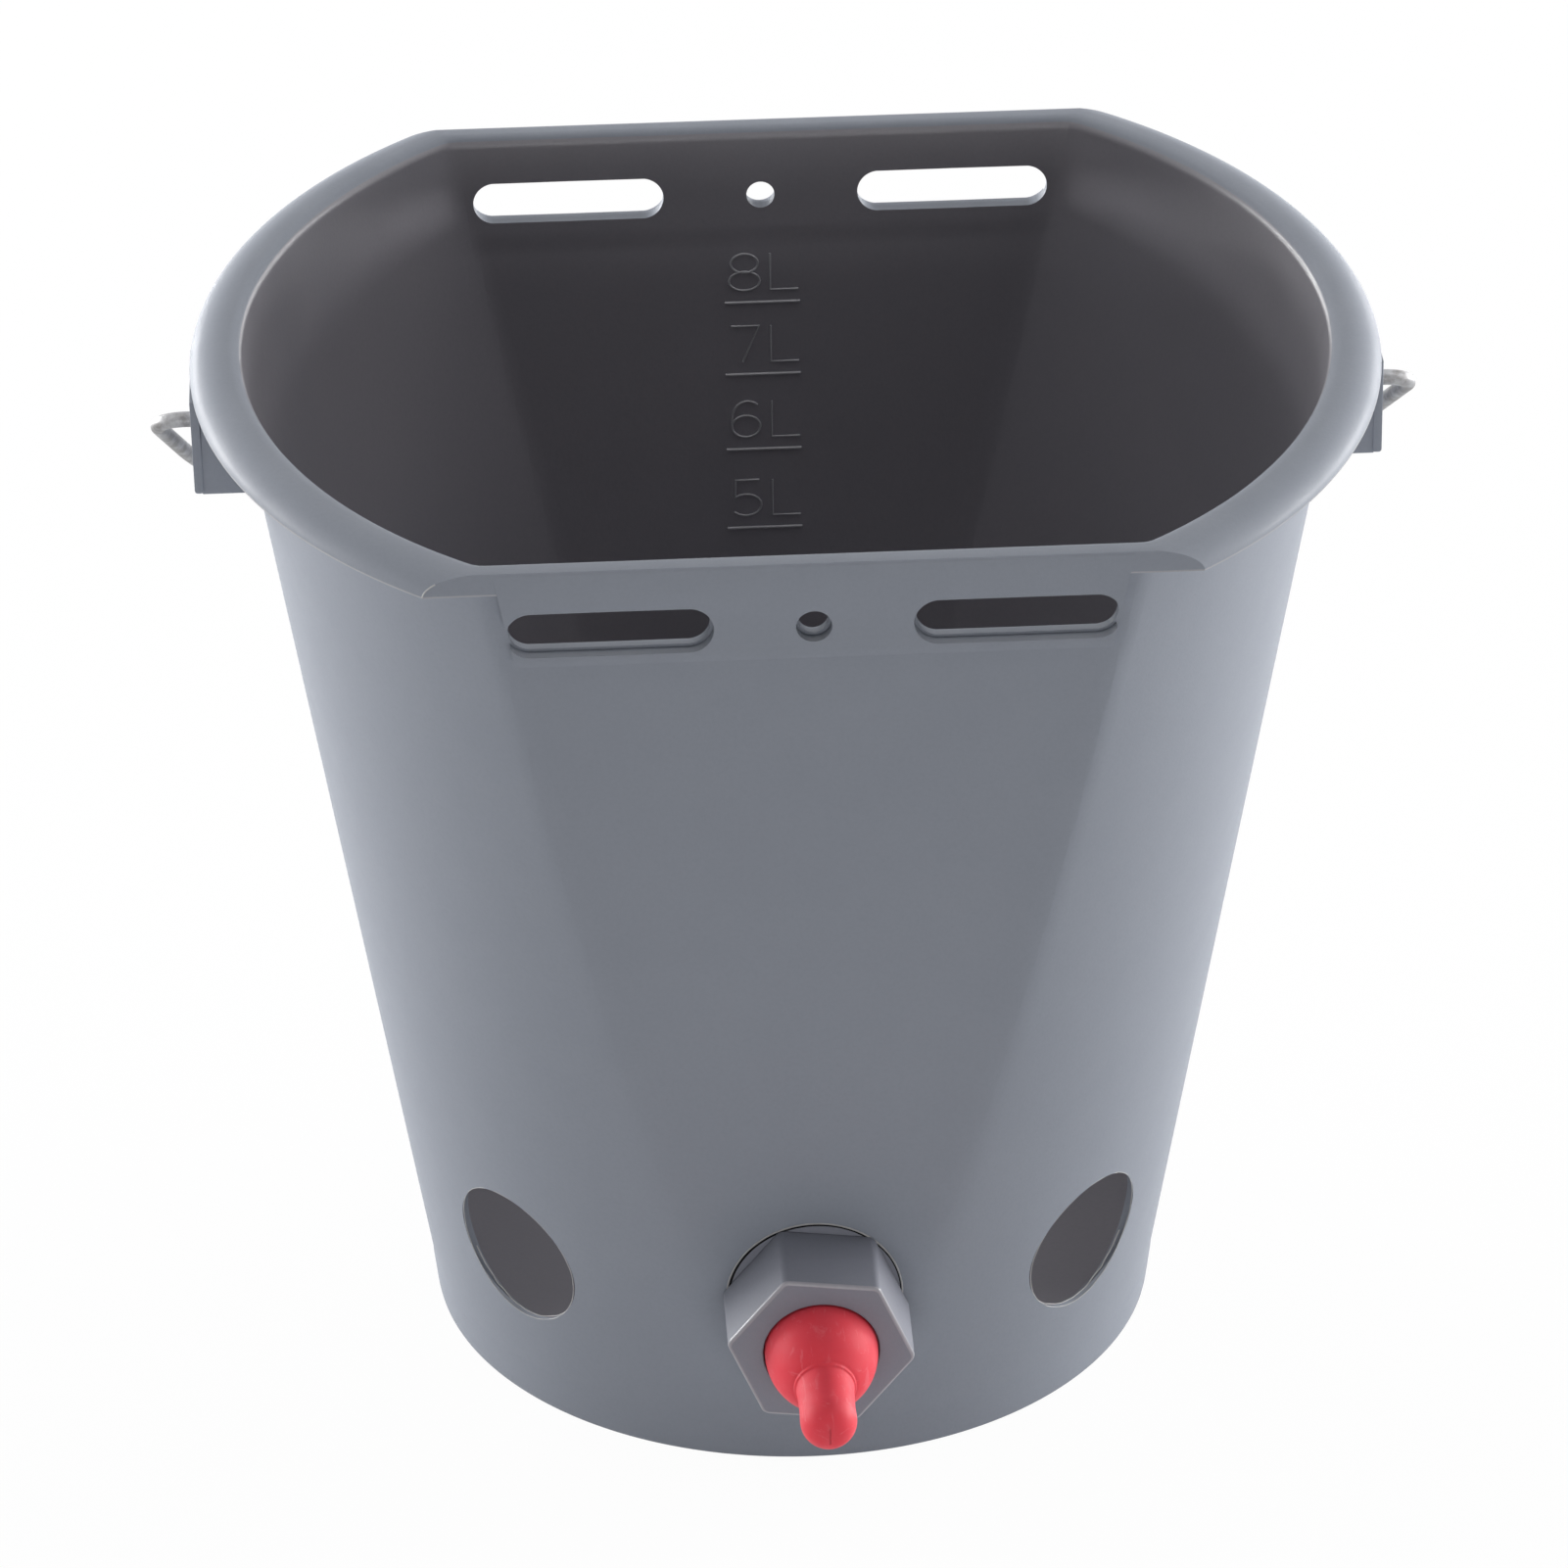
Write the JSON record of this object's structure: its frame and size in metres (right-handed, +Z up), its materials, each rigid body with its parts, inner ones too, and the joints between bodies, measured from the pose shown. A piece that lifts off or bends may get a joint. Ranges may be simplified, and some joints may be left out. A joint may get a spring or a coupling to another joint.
{
  "type": "calf feeder bucket",
  "caption": "Grey plastic calf feeder bucket with two flat slotted sides, litre marks, a wire bail, and a red teat with a non-return valve near the bottom.",
  "frame": {"origin": "centre of the foot, on the ground", "axes": "+Z up along the bucket's axis, -Y the way the teat points, +X along the bail's hinge axis, to the right of someone who faces the teat side from the front"},
  "size_m": [0.3238, 0.2765, 0.281],
  "materials": {
    "shell_plastic": "satin moulded polyethylene, blue-grey",
    "bail_wire": "dull galvanised",
    "valve_plastic": "moulded polypropylene, dark grey",
    "nut_plastic": "moulded polypropylene, grey",
    "gasket_rubber": "matt black",
    "ball_plastic": "smooth white",
    "teat_rubber": "matt red, lightly scuffed"
  },
  "bodies": {
    "bucket": {"bucket": "shell_plastic", "valve_body": "valve_plastic", "valve_gasket": "gasket_rubber", "ball_cage": "valve_plastic"},
    "bail": {"bail_handle": "bail_wire"},
    "ball": {"valve_ball": "ball_plastic"},
    "teat": {"teat": "teat_rubber"},
    "nut": {"union_nut": "nut_plastic"}
  },
  "joints": [
    {"name": "bail_hinge", "type": "hinge", "parent": "bucket", "child": "bail", "pos_m": [0, 0, 0.262], "axis": [1, 0, 0], "range_deg": [0, 263.8]},
    {"name": "ball_slide", "type": "slide", "parent": "bucket", "child": "ball", "axis": [0, -0.9978, -0.0663], "range_m": [-0.003, 0]},
    {"name": "teat_slide", "type": "slide", "parent": "bucket", "child": "teat", "axis": [0, -0.9978, -0.0663], "range_m": [0, 0.012]},
    {"name": "nut_turn", "type": "hinge", "parent": "teat", "child": "nut", "pos_m": [0.0004, -0.1092, 0.05164], "axis": [0, -0.9978, -0.0663], "range_deg": [0, 1080]}
  ],
  "couplings": [
    {"joint": "teat_slide", "follows": "nut_turn", "m_per_rad": 0.00063662}
  ]
}
